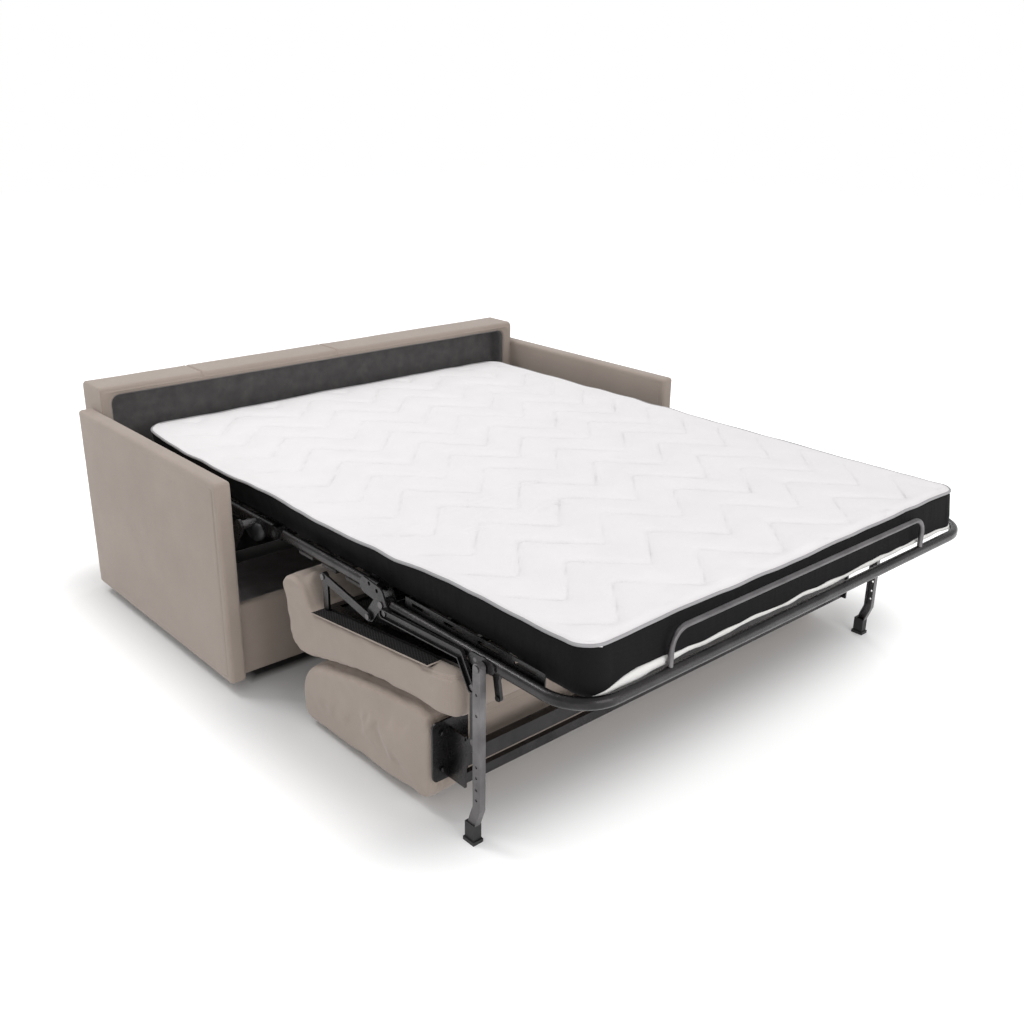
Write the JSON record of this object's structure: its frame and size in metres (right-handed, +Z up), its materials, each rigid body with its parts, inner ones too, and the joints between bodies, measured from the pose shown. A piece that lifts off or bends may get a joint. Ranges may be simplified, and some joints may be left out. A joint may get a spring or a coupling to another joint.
{
  "type": "sofa bed",
  "caption": "Slim upholstered sofa bed shown open: folding steel bed frame with a quilted mattress, its seat and back cushions hanging under the bed.",
  "frame": {"origin": "on the floor, the centre of the middle glide under the back box", "axes": "+Z up, +Y from the open bed's foot towards the back box, +X to the right when facing the back box"},
  "size_m": [1.738, 2.115, 0.679],
  "materials": {
    "upholstery": "flat woven greige cloth over foam",
    "felt": "dark grey needle felt, also glued on the inner boards",
    "timber": "black stained bent ply",
    "mattress": "white quilted ticking with a black border",
    "mesh": "black honeycomb spacer mesh",
    "frame_steel": "satin gunmetal powder coat",
    "black_plastic": "black moulded plastic",
    "pins": "dark zinc plated pins and rivets"
  },
  "bodies": {
    "sofa_base": {"arm_left": "upholstery", "arm_right": "upholstery", "back_box": "upholstery", "back_recess_lining": "felt", "front_panel": "upholstery", "base_floor": "felt", "side_board_left": "felt", "side_board_right": "felt", "base_glides": "black_plastic", "head_frame": "frame_steel", "head_slats": "timber", "head_hinge_plates": "frame_steel", "head_hinge_pins": "black_plastic", "frame_struts": "frame_steel", "strut_pins": "pins", "mattress_head": "mattress", "mattress_head_fold": "mattress"},
    "middle_section": {"middle_rail_left": "frame_steel", "middle_rail_right": "frame_steel", "middle_cross_tube": "frame_steel", "middle_slats": "timber", "knee_plates": "frame_steel", "knee_pins": "pins", "seat_arm_left": "frame_steel", "seat_arm_right": "frame_steel", "seat_links": "frame_steel", "back_hinge_straps": "frame_steel", "back_hinge_pins": "pins", "seat_rivets": "pins", "seat_frame": "frame_steel", "seat_mesh": "mesh", "seat_cushion": "upholstery", "mattress_middle": "mattress", "mattress_foot_fold": "mattress"},
    "foot_section": {"foot_frame": "frame_steel", "foot_side_strips": "frame_steel", "foot_slats": "timber", "mattress_hoop": "frame_steel", "leg_brackets": "frame_steel", "leg_pins": "pins", "leg_locks": "frame_steel", "mattress_foot": "mattress"},
    "left_leg": {"leg_left": "frame_steel", "leg_shoe_left": "black_plastic"},
    "right_leg": {"leg_right": "frame_steel", "leg_shoe_right": "black_plastic"},
    "back_unit": {"back_cushion": "upholstery", "back_plate_left": "frame_steel", "back_plate_right": "frame_steel", "back_bar_upper": "frame_steel", "back_bar_lower": "frame_steel"}
  },
  "joints": [
    {"name": "front_fold", "type": "hinge", "parent": "sofa_base", "child": "middle_section", "pos_m": [0, -0.957, 0.4687], "axis": [-1, 0, 0], "range_deg": [0, 100], "deforming": ["mattress_head_fold"]},
    {"name": "foot_fold", "type": "hinge", "parent": "middle_section", "child": "foot_section", "pos_m": [0, -1.424, 0.4407], "axis": [-1, 0, 0], "range_deg": [0, 90], "deforming": ["mattress_foot_fold"]},
    {"name": "left_leg_swing", "type": "hinge", "parent": "foot_section", "child": "left_leg", "pos_m": [-0.764, -1.784, 0.436], "axis": [-1, 0, 0], "range_deg": [0, 80]},
    {"name": "right_leg_swing", "type": "hinge", "parent": "foot_section", "child": "right_leg", "pos_m": [0.764, -1.784, 0.436], "axis": [-1, 0, 0], "range_deg": [0, 80]},
    {"name": "back_swing", "type": "hinge", "parent": "middle_section", "child": "back_unit", "pos_m": [0, -1.754, 0.2402], "axis": [-1, 0, 0], "range_deg": [0, 45]}
  ],
  "couplings": [
    {"joint": "left_leg_swing", "follows": "front_fold", "ratio": 0.8},
    {"joint": "right_leg_swing", "follows": "front_fold", "ratio": 0.8},
    {"joint": "back_swing", "follows": "front_fold", "ratio": 0.45}
  ]
}
